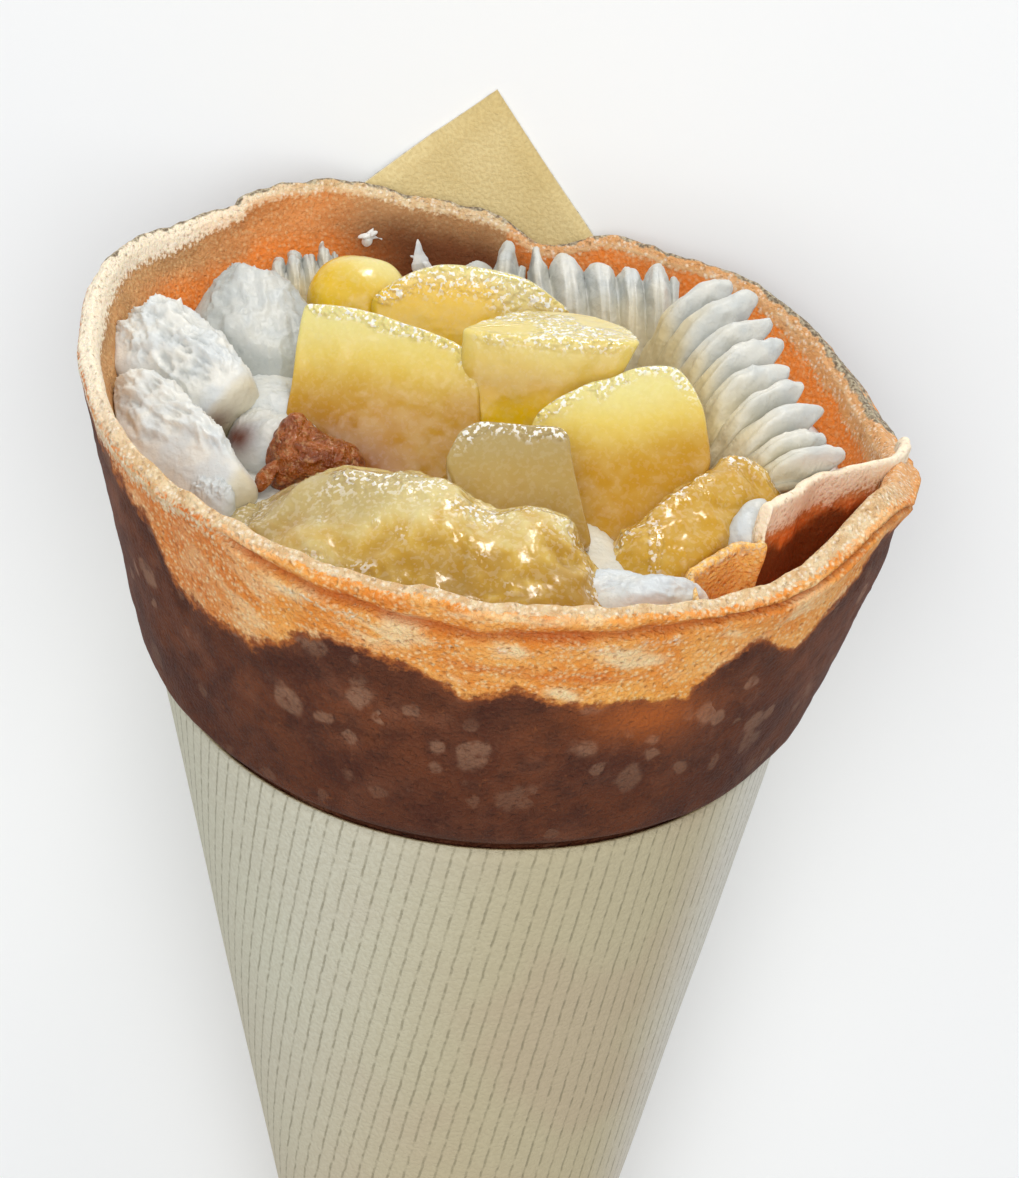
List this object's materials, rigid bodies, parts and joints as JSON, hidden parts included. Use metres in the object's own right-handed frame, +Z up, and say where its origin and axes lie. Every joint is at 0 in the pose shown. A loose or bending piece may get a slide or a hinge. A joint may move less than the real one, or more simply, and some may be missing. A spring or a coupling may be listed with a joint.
{
  "type": "crepe cone",
  "caption": "Rolled crepe filled with whipped cream and cooked apple, in a ribbed paper sleeve with one corner standing behind, lying on its back.",
  "frame": {"origin": "on the flat that it lies on, along the back of the paper sleeve, 160 mm from the sleeve's tip", "axes": "-Y towards the mouth, +Y towards the tip, +Z up out of the shown side, -X to the right as the mouth is faced"},
  "size_m": [0.1016, 0.2432, 0.0904],
  "materials": {
    "paper": "matt uncoated kraft paper, printed outside with thin stripes",
    "baked_crepe": "browned batter, paler and porous at its edge",
    "whipped_cream": "soft, slightly glossy cream",
    "cooked_apple": "moist and translucent, with a thin glaze",
    "caramel_crumb": "rough and moist"
  },
  "bodies": {
    "root": {"paper_sleeve": "paper", "crepe": "baked_crepe", "cream_filling": "whipped_cream", "cream_fan_back": "whipped_cream", "cream_fan_right": "whipped_cream", "cream_fan_front": "whipped_cream", "cream_fan_left": "whipped_cream", "cream_lobe_back": "whipped_cream", "cream_rope_upper": "whipped_cream", "cream_rope_lower": "whipped_cream", "cream_dab_front": "whipped_cream", "caramel_crumb": "caramel_crumb", "apple_wedge_front": "cooked_apple", "apple_wedge_left": "cooked_apple", "apple_slice_centre": "cooked_apple", "apple_slice_right": "cooked_apple", "apple_piece_right": "cooked_apple", "apple_slice_middle": "cooked_apple", "apple_slice_left": "cooked_apple", "apple_slice_back": "cooked_apple", "apple_round_back": "cooked_apple"}
  },
  "joints": []
}
